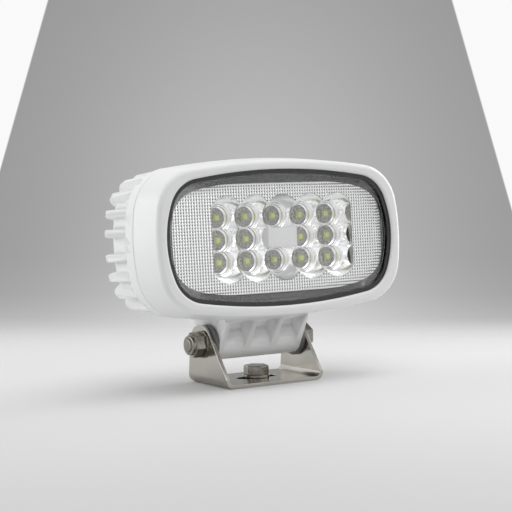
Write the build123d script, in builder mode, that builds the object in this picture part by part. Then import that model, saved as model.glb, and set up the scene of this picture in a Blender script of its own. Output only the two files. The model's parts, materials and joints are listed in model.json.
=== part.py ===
"""Marine LED spreader light: finned white head tilting in a stainless U bracket, bolted down at its slot.

Millimetres. X runs along the head, to the right seen from the front. The light shines towards -Y, +Z is up.
The origin is the middle of the bracket's base, on its underside, where the mounting bolt passes.
The head is drawn upright about its pivot, then tilted back and set on the bracket.
"""
from build123d import *
from math import atan2, cos, hypot, pi, sin
import os

# Bracket, bent from sheet
bracket_width = 67.6
bracket_depth = 41.0
sheet = 2.3
bend_radius = 2.7
ear_radius = 11.3
ear_center_y = 7.5
ear_center_z = 23.4
ear_front_foot = 5.6
ear_back_foot = 5.0
slot_width = 8.6
slot_length = 26.0
sheet_edge = 0.4

# Pivot, an M8 bolt along the foot
pivot_y = 4.8
pivot_z = 23.7
rest_tilt = 4.2
bolt_radius = 4.0
bolt_clearance = 0.25
hex_flats = 13.0
bolt_head_height = 5.3
nut_hex_height = 6.2
nut_collar_height = 1.8
nut_collar_radius = 5.7
nut_insert_radius = 5.0
bolt_end = 0.8
pivot_head_turn = 30.0
pivot_nut_turn = 12.0
washer_radius = 8.0
washer_thickness = 1.6
hex_chamfer = 0.6

# Mounting bolt, an M8 bolt through the slot
shank_below_base = 22.0
thread_radius = 3.95
undercut_radius = 3.4
undercut_above_base = 1.2
undercut_below_base = 0.4
mounting_bolt_turn = 17.0
face_gap = 0.1

# Foot and its bushes
bush_flange_radius = 11.3
bush_flange = 2.4
bush_spigot_radius = 6.0
bush_spigot = 9.0
bush_running_gap = 0.15
boss_radius = 9.7
foot_front_y = -18.0
foot_front_z = 11.5
foot_back_y = 22.5
foot_back_z = 13.3
foot_top_z = 21.5
root_half_width = 32.0
root_low_z = 14.6
root_front_y = -16.0
root_back_y = 17.0
pocket_width = 13.7
pocket_pitch = 18.3
pocket_count = 3
pocket_depth = 8.5
foot_bore_gap = 0.6
bush_fit = 0.05

# Head outlines: long arcs above and below, short arcs at the sides, round corners
light_axis_z = 59.3
lip_half_width = 77.4
lip_half_height = 38.8
lip_long_radius = 362.0
lip_side_radius = 58.0
lip_corner_radius = 21.0
shoulder_half_width = 83.2
shoulder_half_height = 43.9
shoulder_long_radius = 450.0
shoulder_side_radius = 115.0
shoulder_corner_radius = 25.0

# Stations along the head's depth, measured from the pivot
lip_front = -41.0
seam = -21.5
rim_back = -13.0
core_back = 16.5
fin_back = 20.3

# Bezel
seam_half_width = 88.0
seam_half_height = 46.2
bezel_shoulder = 3.2
lip_thickness = 2.0
lip_round = 1.4
seam_chamfer = 0.45
bezel_bore_half_width = 81.6
bezel_bore_half_height = 41.0

# Lens, its gasket and the reflector
gasket_thickness = 1.0
gasket_cover = 2.3
gasket_clearance = 0.1
lens_flange = 1.6
lens_pane_rise = 1.4
lens_step = 1.8
lens_clearance = 0.3
reflector_skin = 1.2
reflector_inset = 0.7
pattern_recess = 0.8
pattern_border = 4.5
cup_shift = 2.4
cup_field_half_width = 48.4
cup_field_corner = 8.0
cup_pitch_x = 19.0
cup_pitch_z = 12.7
cup_columns = 5
cup_rows = 3
cup_mouth_radius = 12.0
cup_hole_radius = 5.4
cup_bulge = 1.4
cup_wall = 0.8
cup_back_wall = 2.7
cup_foot_gap = 0.3
center_pad_width = 20.0
center_pad_height = 11.0
center_pad_corner = 4.0
center_pad_drop = 0.6

# LED board and what it lies on
spigot_height = 4.0
spreader_sink = 3.6
spreader_thickness = 3.0
spreader_inset = 4.0
spreader_clearance = 0.3
ledge = 3.5
pad_thickness = 0.4
board_thickness = 1.6
board_width = 124.0
board_height = 58.0
board_corner = 10.0
package_size = 5.0
package_height = 1.3
phosphor_size = 3.0
phosphor_height = 0.8
phosphor_draft = 20.0
screw_radius = 1.5
thread_gap = 0.05
screw_hole_gap = 0.2
screw_head_radius = 2.75
screw_head_height = 2.0
screw_length = 9.0
board_screw_x = 56.0
board_screw_z = 24.5
board_screw_columns = 3
column_radius = 4.5

# Housing shell, fins and seal
core_inset = 5.5
core_draft = 0.5
core_back_round = 7.0
rear_wall = 4.0
spigot_clearance = 0.3
seal_depth = 1.6
seal_width = 1.8
seal_offset = 1.1
seal_clearance = 0.1
fin_reach = 26.0
fin_inset = 0.4
fin_sink = 1.0
fin_draft_in = 1.7
fin_tip = 2.6
fin_root = 4.6
fin_corner = 8.5
fin_first_gap = 7.4
fin_pitch = 11.7
fins_per_quarter = 9
foot_clear_half_width = 37.0
plateau_inset = 25.0
plateau_rise = 4.2

# Screws from behind into the bezel
bezel_screw_radius = 1.25
bezel_screw_inset = 2.9
bezel_screw_bite = 4.5
bezel_screw_head = 3.0
bezel_screw_head_radius = 2.3
bezel_screw_fins = (1, 4, 7)

# Driver in the rear of the shell
standoff_height = 5.0
standoff_radius = 3.0
driver_width = 72.0
driver_height = 24.0
driver_z = 6.0
driver_margin = 4.0
choke_radius = 6.0
choke_bore = 2.4
choke_height = 7.0
choke_spots = ((-24.0, 0.0), (-9.0, 0.0))
capacitor_radius = 4.0
capacitor_height = 11.0
capacitor_spots = ((5.0, 5.5), (5.0, -5.5))
chip_width = 7.0
chip_height = 5.0
chip_rise = 1.6
chip_spots = ((15.0, 6.0), (15.0, -6.0), (-16.5, 8.5))
terminal_x = 30.9
terminal_width = 9.0
terminal_height = 9.0
terminal_rise = 8.0
lead_radius = 0.9
lead_pitch = 5.0
lead_gap = 0.3
lead_stub = 0.8

# Cable gland and vent at the back
gland_z = -12.0
gland_thread_radius = 6.0
gland_flats = 17.0
gland_flange = 4.5
gland_barrel_radius = 6.6
gland_barrel = 7.0
gland_nut_radius = 8.4
gland_nut_length = 10.0
gland_nut_mouth = 4.6
gland_seal_radius = 5.2
cable_radius = 3.3
cable_gap = 0.4
vent_x = 40.0
vent_thread_radius = 3.0
vent_cap_radius = 6.0
vent_cap = 3.2
vent_ring = 1.0
vent_ring_radius = 4.6

os.makedirs("parts", exist_ok=True)

head_place = Location((0, pivot_y, pivot_z), (-rest_tilt, 0, 0))
hex_corner = hex_flats / 2 / cos(pi / 6)


def face_plane(depth):
    """Plane across the head at a depth behind the pivot, its own Y up and its normal to the front."""
    return Plane(origin=(0, depth, light_axis_z), x_dir=(1, 0, 0), z_dir=(0, -1, 0))


lip_form = (lip_half_width, lip_half_height, lip_long_radius, lip_side_radius, lip_corner_radius)
shell_form = (shoulder_half_width, shoulder_half_height,
              shoulder_long_radius, shoulder_side_radius, shoulder_corner_radius)


def outline_centers(half_width, half_height, form):
    """Arc centres and radii of an outline grown or shrunk from its form, the lip's or the shell's."""
    form_half_width, form_half_height, form_long, form_side, form_corner = form
    wider = half_width - form_half_width
    higher = half_height - form_half_height
    long_r = form_long + higher
    side_r = form_side + wider
    corner_r = form_corner + (wider + higher) / 2
    long_c = (0.0, half_height - long_r)
    side_c = (half_width - side_r, 0.0)
    reach_long, reach_side = long_r - corner_r, side_r - corner_r
    span = hypot(side_c[0] - long_c[0], side_c[1] - long_c[1])
    along = (reach_long**2 - reach_side**2 + span**2) / (2 * span)
    across = (reach_long**2 - along**2) ** 0.5
    ux, uy = (side_c[0] - long_c[0]) / span, (side_c[1] - long_c[1]) / span
    corner_c = (long_c[0] + ux * along + uy * across, long_c[1] + uy * along - ux * across)
    long_turn = atan2(corner_c[1] - long_c[1], corner_c[0] - long_c[0])
    side_turn = atan2(corner_c[1] - side_c[1], corner_c[0] - side_c[0])
    return long_c, long_r, corner_c, corner_r, side_c, side_r, long_turn, side_turn


def on_arc(center, radius, turn):
    return (center[0] + radius * cos(turn), center[1] + radius * sin(turn))


def head_outline(half_width, half_height, form=lip_form):
    """Face of one of the head's outlines, closed by eight tangent arcs."""
    long_c, long_r, corner_c, corner_r, _, _, long_turn, side_turn = outline_centers(
        half_width, half_height, form)
    p_long = on_arc(long_c, long_r, long_turn)
    p_mid = on_arc(corner_c, corner_r, (long_turn + side_turn) / 2)
    p_side = on_arc(corner_c, corner_r, side_turn)
    with BuildSketch() as shape:
        with BuildLine():
            ThreePointArc((-p_long[0], p_long[1]), (0, half_height), p_long)
            ThreePointArc(p_long, p_mid, p_side)
            ThreePointArc(p_side, (half_width, 0), (p_side[0], -p_side[1]))
            ThreePointArc((p_side[0], -p_side[1]), (p_mid[0], -p_mid[1]), (p_long[0], -p_long[1]))
            ThreePointArc((p_long[0], -p_long[1]), (0, -half_height), (-p_long[0], -p_long[1]))
            ThreePointArc((-p_long[0], -p_long[1]), (-p_mid[0], -p_mid[1]), (-p_side[0], -p_side[1]))
            ThreePointArc((-p_side[0], -p_side[1]), (-half_width, 0), (-p_side[0], p_side[1]))
            ThreePointArc((-p_side[0], p_side[1]), (-p_mid[0], p_mid[1]), (-p_long[0], p_long[1]))
        make_face()
    return shape.sketch


def outline_frames(half_width, half_height, steps):
    """Shell points and outward turns at arc lengths from the middle of the right side, up to the top."""
    long_c, long_r, corner_c, corner_r, side_c, side_r, long_turn, side_turn = outline_centers(
        half_width, half_height, shell_form)
    side_run = side_r * side_turn
    corner_run = corner_r * (long_turn - side_turn)
    frames = []
    for step in steps:
        if step < side_run:
            turn = step / side_r
            point = on_arc(side_c, side_r, turn)
        elif step < side_run + corner_run:
            turn = side_turn + (step - side_run) / corner_r
            point = on_arc(corner_c, corner_r, turn)
        else:
            turn = min(long_turn + (step - side_run - corner_run) / long_r, pi / 2)
            point = on_arc(long_c, long_r, turn)
        frames.append((point, turn))
    return frames


def around(frames):
    """The frames of one quarter, mirrored to all four."""
    whole = []
    for (x, z), turn in frames:
        whole.append(((x, z), turn))
        whole.append(((x, -z), -turn))
        if x > 0.01:
            whole.append(((-x, z), pi - turn))
            whole.append(((-x, -z), pi + turn))
    return whole


def save(builder, name, on_head=False):
    """Name a finished piece, set a head piece on its pivot, and write it."""
    piece = head_place * builder.part if on_head else builder.part
    piece.label = name
    export_step(piece, f"parts/{name}.step")


# Bracket
with BuildPart() as bracket:
    with BuildSketch(Plane.XZ):
        with BuildLine():
            u_line = FilletPolyline(
                (-bracket_width / 2 + sheet / 2, ear_center_z + ear_radius),
                (-bracket_width / 2 + sheet / 2, sheet / 2),
                (bracket_width / 2 - sheet / 2, sheet / 2),
                (bracket_width / 2 - sheet / 2, ear_center_z + ear_radius),
                radius=bend_radius + sheet / 2)
            offset(amount=sheet / 2, kind=Kind.INTERSECTION)
        make_face()
    extrude(amount=bracket_depth / 2, both=True)
    with BuildSketch(Plane.YZ):
        with BuildLine():
            front_low = (-bracket_depth / 2, ear_front_foot)
            back_low = (bracket_depth / 2, ear_back_foot)
            front_span = hypot(front_low[0] - ear_center_y, front_low[1] - ear_center_z)
            back_span = hypot(back_low[0] - ear_center_y, back_low[1] - ear_center_z)
            front_turn = (atan2(front_low[1] - ear_center_z, front_low[0] - ear_center_y) % (2 * pi)
                          - atan2((front_span**2 - ear_radius**2) ** 0.5, ear_radius))
            back_turn = (atan2(back_low[1] - ear_center_z, back_low[0] - ear_center_y)
                         + atan2((back_span**2 - ear_radius**2) ** 0.5, ear_radius))
            front_touch = on_arc((ear_center_y, ear_center_z), ear_radius, front_turn)
            back_touch = on_arc((ear_center_y, ear_center_z), ear_radius, back_turn)
            Line((-bracket_depth / 2, 0), front_low)
            Line(front_low, front_touch)
            ThreePointArc(front_touch, (ear_center_y, ear_center_z + ear_radius), back_touch)
            Line(back_touch, back_low)
            Line(back_low, (bracket_depth / 2, 0))
            Line((bracket_depth / 2, 0), (-bracket_depth / 2, 0))
        make_face()
    extrude(amount=bracket_width, both=True, mode=Mode.INTERSECT)
    with BuildSketch(Plane.XY):
        SlotOverall(slot_length, slot_width)
    extrude(amount=sheet, mode=Mode.SUBTRACT)
    with BuildSketch(Plane.YZ):
        with Locations((pivot_y, pivot_z)):
            Circle(bolt_radius + bolt_clearance)
    extrude(amount=bracket_width, both=True, mode=Mode.SUBTRACT)
save(bracket, "bracket")

# Mounting bolt and washer
washer_base = sheet + face_gap
mounting_head_base = washer_base + washer_thickness + face_gap
with BuildPart() as mounting_washer:
    with BuildSketch(Plane.XY.offset(washer_base)):
        Circle(washer_radius)
        Circle(bolt_radius + bolt_clearance, mode=Mode.SUBTRACT)
    extrude(amount=washer_thickness)
    chamfer(mounting_washer.edges().group_by(SortBy.LENGTH)[-1], sheet_edge / 2)
save(mounting_washer, "mounting_washer")

with BuildPart() as mounting_bolt:
    with BuildSketch(Plane.XY.offset(mounting_head_base)):
        RegularPolygon(hex_corner, 6, rotation=mounting_bolt_turn)
    extrude(amount=bolt_head_height)
    with BuildSketch(Plane.XY.offset(mounting_head_base)):
        Circle(hex_corner)
    extrude(amount=bolt_head_height, mode=Mode.INTERSECT)
    chamfer(mounting_bolt.faces().sort_by(Axis.Z)[-1].edges(), hex_chamfer)
    with BuildSketch(Plane.XY.offset(undercut_above_base)):
        Circle(bolt_radius)
    extrude(amount=mounting_head_base - undercut_above_base)
    with BuildSketch(Plane.XY.offset(-undercut_below_base)):
        Circle(undercut_radius)
    extrude(amount=undercut_above_base + undercut_below_base)
    with BuildSketch(Plane.XY.offset(-undercut_below_base)):
        Circle(thread_radius)
    extrude(amount=undercut_below_base - shank_below_base)
    chamfer(mounting_bolt.faces().sort_by(Axis.Z)[0].edges(), hex_chamfer)
save(mounting_bolt, "mounting_bolt")

# Pivot bolt, washers, lock nut and its insert
pivot_plane = Plane(origin=(0, pivot_y, pivot_z), x_dir=(0, 1, 0), z_dir=(1, 0, 0))
stack_face = bracket_width / 2 + washer_thickness
nut_end = stack_face + nut_hex_height + nut_collar_height
with BuildPart() as pivot_bolt:
    with BuildSketch(pivot_plane.offset(stack_face)):
        RegularPolygon(hex_corner, 6, rotation=pivot_head_turn)
    extrude(amount=bolt_head_height)
    chamfer(pivot_bolt.faces().sort_by(Axis.X)[-1].edges(), hex_chamfer)
    with BuildSketch(pivot_plane.offset(stack_face)):
        Circle(bolt_radius)
    extrude(amount=-(stack_face + nut_end + bolt_end))
    chamfer(pivot_bolt.faces().sort_by(Axis.X)[0].edges(), hex_chamfer)
save(pivot_bolt, "pivot_bolt")

with BuildPart() as pivot_washers:
    with BuildSketch(pivot_plane.offset(bracket_width / 2), pivot_plane.offset(-stack_face)):
        Circle(washer_radius)
        Circle(bolt_radius + bolt_clearance, mode=Mode.SUBTRACT)
    extrude(amount=washer_thickness)
save(pivot_washers, "pivot_washers")

with BuildPart() as pivot_lock_nut:
    with BuildSketch(pivot_plane.offset(-stack_face)):
        RegularPolygon(hex_corner, 6, rotation=pivot_nut_turn)
    extrude(amount=-nut_hex_height)
    chamfer(pivot_lock_nut.faces().sort_by(Axis.X)[0].edges(), hex_chamfer)
    with BuildSketch(pivot_plane.offset(-stack_face - nut_hex_height)):
        Circle(nut_collar_radius)
    extrude(amount=-nut_collar_height)
    fillet(pivot_lock_nut.faces().sort_by(Axis.X)[0].edges(), hex_chamfer)
    with BuildSketch(pivot_plane.offset(-stack_face)):
        Circle(bolt_radius)
    extrude(amount=-(nut_hex_height + nut_collar_height), mode=Mode.SUBTRACT)
    with BuildSketch(pivot_plane.offset(-stack_face - nut_hex_height)):
        Circle(nut_insert_radius)
    extrude(amount=-(nut_collar_height - hex_chamfer), mode=Mode.SUBTRACT)
save(pivot_lock_nut, "pivot_lock_nut")

with BuildPart() as lock_nut_insert:
    with BuildSketch(pivot_plane.offset(-stack_face - nut_hex_height)):
        Circle(nut_insert_radius)
        Circle(bolt_radius, mode=Mode.SUBTRACT)
    extrude(amount=-(nut_collar_height - hex_chamfer))
save(lock_nut_insert, "lock_nut_insert")

# Flanged bushes at each end of the foot
foot_half_width = bracket_width / 2 - sheet - face_gap - bush_flange
for side, name in ((-1, "pivot_bush_left"), (1, "pivot_bush_right")):
    foot_end = Plane(origin=(side * foot_half_width, 0, 0), x_dir=(0, 1, 0), z_dir=(side, 0, 0))
    with BuildPart() as pivot_bush:
        with BuildSketch(foot_end):
            Circle(bush_flange_radius)
        extrude(amount=bush_flange)
        chamfer(pivot_bush.edges(), sheet_edge)
        with BuildSketch(foot_end):
            Circle(bush_spigot_radius)
        extrude(amount=-bush_spigot)
        with BuildSketch(foot_end.offset(bush_flange)):
            Circle(bolt_radius + bush_running_gap)
        extrude(amount=-(bush_flange + bush_spigot), mode=Mode.SUBTRACT)
    save(pivot_bush, name, on_head=True)

# Stations worked out from the front stack
gasket_front = lip_front + lip_thickness
lens_flange_front = gasket_front + gasket_thickness
lens_back = lens_flange_front + lens_flange
spigot_front = seam - spigot_height
spreader_front = spigot_front + spreader_sink
pad_front = spreader_front - pad_thickness
board_front = pad_front - board_thickness
package_front = board_front - package_height
reflector_front = lens_back + pattern_recess
cup_foot = board_front - cup_foot_gap
cavity_back = core_back - rear_wall
plateau_back = core_back + plateau_rise
driver_back = cavity_back - standoff_height
driver_front = driver_back - board_thickness
driver_screw_spots = [
    (side_x * (driver_width / 2 - driver_margin), driver_z + side_z * (driver_height / 2 - driver_margin))
    for side_x in (-1, 1) for side_z in (-1, 1)]
spigot_half_width = bezel_bore_half_width - spigot_clearance
spigot_half_height = bezel_bore_half_height - spigot_clearance
seal_front = seam - seal_offset - seal_width

# Bezel, drawn in from the seam to a rounded shoulder, with a rolled lip round the opening
with BuildPart() as bezel:
    with BuildSketch(face_plane(seam)):
        add(head_outline(seam_half_width - seam_chamfer, seam_half_height - seam_chamfer, shell_form))
    extrude(amount=seam_chamfer)
    with BuildSketch(face_plane(seam - seam_chamfer)):
        add(head_outline(seam_half_width, seam_half_height, shell_form))
    with BuildSketch(face_plane(lip_front)):
        add(head_outline(shoulder_half_width, shoulder_half_height, shell_form))
    loft()
    fillet(bezel.faces().sort_by(Axis.Y)[0].edges(), bezel_shoulder)
    with BuildSketch(face_plane(seam)):
        add(head_outline(bezel_bore_half_width, bezel_bore_half_height))
    extrude(amount=seam - gasket_front, mode=Mode.SUBTRACT)
    with BuildSketch(face_plane(gasket_front)):
        add(head_outline(lip_half_width, lip_half_height))
    extrude(amount=lip_thickness, mode=Mode.SUBTRACT)
    fillet(bezel.faces().filter_by(Plane.XZ).sort_by(Axis.Y)[0].inner_wires()[0].edges(), lip_round)
screw_steps = [fin_first_gap + fin_pitch * (index + 0.5) for index in bezel_screw_fins]
screw_spots = [
    (x - bezel_screw_inset * cos(turn), z - bezel_screw_inset * sin(turn))
    for (x, z), turn in around(outline_frames(seam_half_width, seam_half_height, screw_steps))
    if z > 0 or abs(x) > foot_clear_half_width]
with bezel:
    with BuildSketch(face_plane(seam)):
        with Locations(*screw_spots):
            Circle(bezel_screw_radius)
    extrude(amount=bezel_screw_bite, mode=Mode.SUBTRACT)
save(bezel, "bezel", on_head=True)

# Lens gasket and lens
with BuildPart() as lens_gasket:
    with BuildSketch(face_plane(gasket_front)):
        add(head_outline(bezel_bore_half_width - gasket_clearance,
                         bezel_bore_half_height - gasket_clearance))
    extrude(amount=-gasket_thickness)
    with BuildSketch(face_plane(gasket_front)):
        add(head_outline(lip_half_width - gasket_cover, lip_half_height - gasket_cover))
    extrude(amount=-gasket_thickness, mode=Mode.SUBTRACT)
save(lens_gasket, "lens_gasket", on_head=True)

pane_half_width = lip_half_width - gasket_cover - lens_step
pane_half_height = lip_half_height - gasket_cover - lens_step
with BuildPart() as lens:
    with BuildSketch(face_plane(lens_back)):
        add(head_outline(bezel_bore_half_width - lens_clearance, bezel_bore_half_height - lens_clearance))
    extrude(amount=lens_flange)
    with BuildSketch(face_plane(lens_flange_front)):
        add(head_outline(pane_half_width, pane_half_height))
    extrude(amount=lens_pane_rise)
    fillet(lens.faces().sort_by(Axis.Y)[0].edges(), lens_pane_rise / 2)
save(lens, "lens", on_head=True)

# Reflector: skin, overlapping cups, skirt down to the spigot
reflector_half_width = bezel_bore_half_width - reflector_inset
reflector_half_height = bezel_bore_half_height - reflector_inset
cup_spots = [
    (cup_shift + column * cup_pitch_x, row * cup_pitch_z)
    for row in range(-(cup_rows // 2), cup_rows // 2 + 1)
    for column in range(-(cup_columns // 2), cup_columns // 2 + 1)
    if (column, row) != (0, 0)]


def cup_body(foot_radius, mouth_radius, bulge):
    """Solid of a cup from its foot to the reflector's face, drawn along its own axis."""
    depth = cup_foot - reflector_front
    with BuildPart(mode=Mode.PRIVATE) as cup:
        with BuildSketch(Plane.XZ):
            with BuildLine():
                if bulge:
                    middle = ((mouth_radius + foot_radius) / 2 + bulge, depth / 2)
                    ThreePointArc((foot_radius, 0), middle, (mouth_radius, depth))
                else:
                    Line((foot_radius, 0), (mouth_radius, depth))
                Line((mouth_radius, depth), (0, depth))
                Line((0, depth), (0, 0))
                Line((0, 0), (foot_radius, 0))
            make_face()
        revolve(axis=Axis.Z)
    return cup.part


def cup_field(cup, grow):
    """All the cups joined and cut off square at the field's two ends, grown by a wall."""
    with BuildPart(mode=Mode.PRIVATE) as field:
        for x, z in cup_spots:
            spot = Plane(origin=(x, cup_foot, light_axis_z + z), x_dir=(1, 0, 0), z_dir=(0, -1, 0))
            add(spot.location * cup)
        with BuildSketch(face_plane(cup_foot)):
            with Locations((cup_shift, 0)):
                RectangleRounded(2 * (cup_field_half_width + grow), 2 * seam_half_height,
                                 cup_field_corner + grow)
        extrude(amount=cup_foot - reflector_front, mode=Mode.INTERSECT)
    return field.part


cup_shells = cup_field(cup_body(cup_hole_radius + cup_back_wall, cup_mouth_radius + cup_wall, 0), cup_wall)
cup_hollows = cup_field(cup_body(cup_hole_radius, cup_mouth_radius, cup_bulge), 0)
with BuildPart() as reflector:
    with BuildSketch(face_plane(reflector_front)):
        add(head_outline(reflector_half_width, reflector_half_height))
    extrude(amount=-reflector_skin)
    with BuildSketch(face_plane(lens_back)):
        add(head_outline(reflector_half_width, reflector_half_height))
        add(head_outline(reflector_half_width - pattern_border, reflector_half_height - pattern_border),
            mode=Mode.SUBTRACT)
    extrude(amount=lens_back - reflector_front)
    with BuildSketch(face_plane(reflector_front)):
        add(head_outline(reflector_half_width, reflector_half_height))
        add(head_outline(reflector_half_width - reflector_skin, reflector_half_height - reflector_skin),
            mode=Mode.SUBTRACT)
    extrude(amount=-(spigot_front - reflector_front))
    add(cup_shells)
    add(cup_hollows, mode=Mode.SUBTRACT)
    with BuildSketch(face_plane(cup_foot)):
        with Locations((cup_shift, 0)):
            RectangleRounded(center_pad_width, center_pad_height, center_pad_corner)
    extrude(amount=cup_foot - reflector_front - center_pad_drop)
    with BuildSketch(face_plane(cup_foot)):
        with Locations((cup_shift, 0)):
            RectangleRounded(center_pad_width - 2 * cup_wall, center_pad_height - 2 * cup_wall,
                             center_pad_corner - cup_wall)
    extrude(amount=cup_foot - reflector_front - center_pad_drop - reflector_skin, mode=Mode.SUBTRACT)
save(reflector, "reflector", on_head=True)

# LED board, packages, phosphors, pad and heat spreader
spreader_half_width = bezel_bore_half_width - spreader_inset
spreader_half_height = bezel_bore_half_height - spreader_inset
lead_spots = [(terminal_x, driver_z + side * lead_pitch / 2) for side in (-1, 1)]


def plate_holes():
    """Holes for the board screws and the two leads, shared by the board, pad and spreader."""
    with BuildSketch(mode=Mode.PRIVATE) as holes:
        with GridLocations(board_screw_x, 2 * board_screw_z, board_screw_columns, 2):
            Circle(screw_radius + screw_hole_gap)
        with Locations(*lead_spots):
            Circle(lead_radius + lead_gap)
    return holes.sketch


with BuildPart() as led_board:
    with BuildSketch(face_plane(board_front)):
        RectangleRounded(board_width, board_height, board_corner)
        add(plate_holes(), mode=Mode.SUBTRACT)
    extrude(amount=-board_thickness)
save(led_board, "led_board", on_head=True)

with BuildPart() as led_packages:
    with BuildSketch(face_plane(board_front)):
        with Locations(*cup_spots):
            Rectangle(package_size, package_size)
    extrude(amount=package_height)
save(led_packages, "led_packages", on_head=True)

with BuildPart() as led_phosphors:
    with BuildSketch(face_plane(package_front)):
        with Locations(*cup_spots):
            Rectangle(phosphor_size, phosphor_size)
    extrude(amount=phosphor_height, taper=phosphor_draft)
save(led_phosphors, "led_phosphors", on_head=True)

with BuildPart() as thermal_pad:
    with BuildSketch(face_plane(pad_front)):
        RectangleRounded(board_width, board_height, board_corner)
        add(plate_holes(), mode=Mode.SUBTRACT)
    extrude(amount=-pad_thickness)
save(thermal_pad, "thermal_pad", on_head=True)

with BuildPart() as heat_spreader:
    with BuildSketch(face_plane(spreader_front)):
        add(head_outline(spreader_half_width - spreader_clearance,
                         spreader_half_height - spreader_clearance))
        add(plate_holes(), mode=Mode.SUBTRACT)
    extrude(amount=-spreader_thickness)
save(heat_spreader, "heat_spreader", on_head=True)

with BuildPart() as board_screws:
    with BuildSketch(face_plane(board_front)):
        with GridLocations(board_screw_x, 2 * board_screw_z, board_screw_columns, 2):
            Circle(screw_head_radius)
    extrude(amount=screw_head_height)
    with BuildSketch(face_plane(board_front)):
        with GridLocations(board_screw_x, 2 * board_screw_z, board_screw_columns, 2):
            Circle(screw_radius - thread_gap)
    extrude(amount=-screw_length)
save(board_screws, "board_screws", on_head=True)

# Housing: rim, core, fins, foot, then its inside
core_half_width = seam_half_width - core_inset
core_half_height = seam_half_height - core_inset
ledge_depth = spreader_front + spreader_thickness
fin_front = rim_back - fin_sink


def fin_blade():
    """One fin: X out from the outline, Y back, thinner to its tip, with a round back corner."""
    length = fin_back - fin_front
    with BuildPart(mode=Mode.PRIVATE) as blade:
        with BuildSketch(Plane.XY):
            with BuildLine():
                edge_end = (-fin_draft_in, length)
                Polyline((-fin_reach, 0), (0, 0), edge_end, (-fin_reach, length), (-fin_reach, 0))
            make_face()
            fillet(sorted(vertices(), key=lambda v: v.X + v.Y)[-1], fin_corner)
        extrude(amount=fin_root / 2, both=True)
        with BuildSketch(Plane.XZ):
            Polygon((-fin_reach, -fin_root / 2), (-core_inset, -fin_root / 2), (0, -fin_tip / 2),
                    (0, fin_tip / 2), (-core_inset, fin_root / 2), (-fin_reach, fin_root / 2), align=None)
        extrude(amount=-length, mode=Mode.INTERSECT)
    return blade.part


fin = fin_blade()
quarter_steps = [fin_first_gap + fin_pitch * index for index in range(fins_per_quarter)]
fin_frames = [
    frame for frame in around(outline_frames(seam_half_width, seam_half_height, quarter_steps))
    if frame[0][1] > 0 or abs(frame[0][0]) > foot_clear_half_width]
fin_places = [
    Location(Plane(origin=(x - fin_inset * cos(turn), fin_front, light_axis_z + z - fin_inset * sin(turn)),
                   x_dir=(cos(turn), 0, sin(turn)), z_dir=(-sin(turn), 0, cos(turn))))
    for (x, z), turn in fin_frames]

boss_reach_front = hypot(foot_front_y, foot_front_z)
boss_reach_back = hypot(foot_back_y, foot_back_z)
front_boss_turn = (atan2(foot_front_z, foot_front_y)
                   + atan2((boss_reach_front**2 - boss_radius**2) ** 0.5, boss_radius))
back_boss_turn = (atan2(foot_back_z, foot_back_y)
                  - atan2((boss_reach_back**2 - boss_radius**2) ** 0.5, boss_radius))
front_touch = on_arc((0, 0), boss_radius, front_boss_turn)
back_touch = on_arc((0, 0), boss_radius, back_boss_turn)
foot_plane = Plane(origin=(0, 0, 0), x_dir=(0, 1, 0), z_dir=(1, 0, 0))
slope = atan2(foot_front_z - front_touch[1], foot_front_y - front_touch[0])
inward = (sin(slope), -cos(slope))
pocket_top = (foot_front_y + inward[0] * pocket_depth, foot_front_z + inward[1] * pocket_depth)
pocket_low = (front_touch[0] + inward[0] * pocket_depth, front_touch[1] + inward[1] * pocket_depth)
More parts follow.
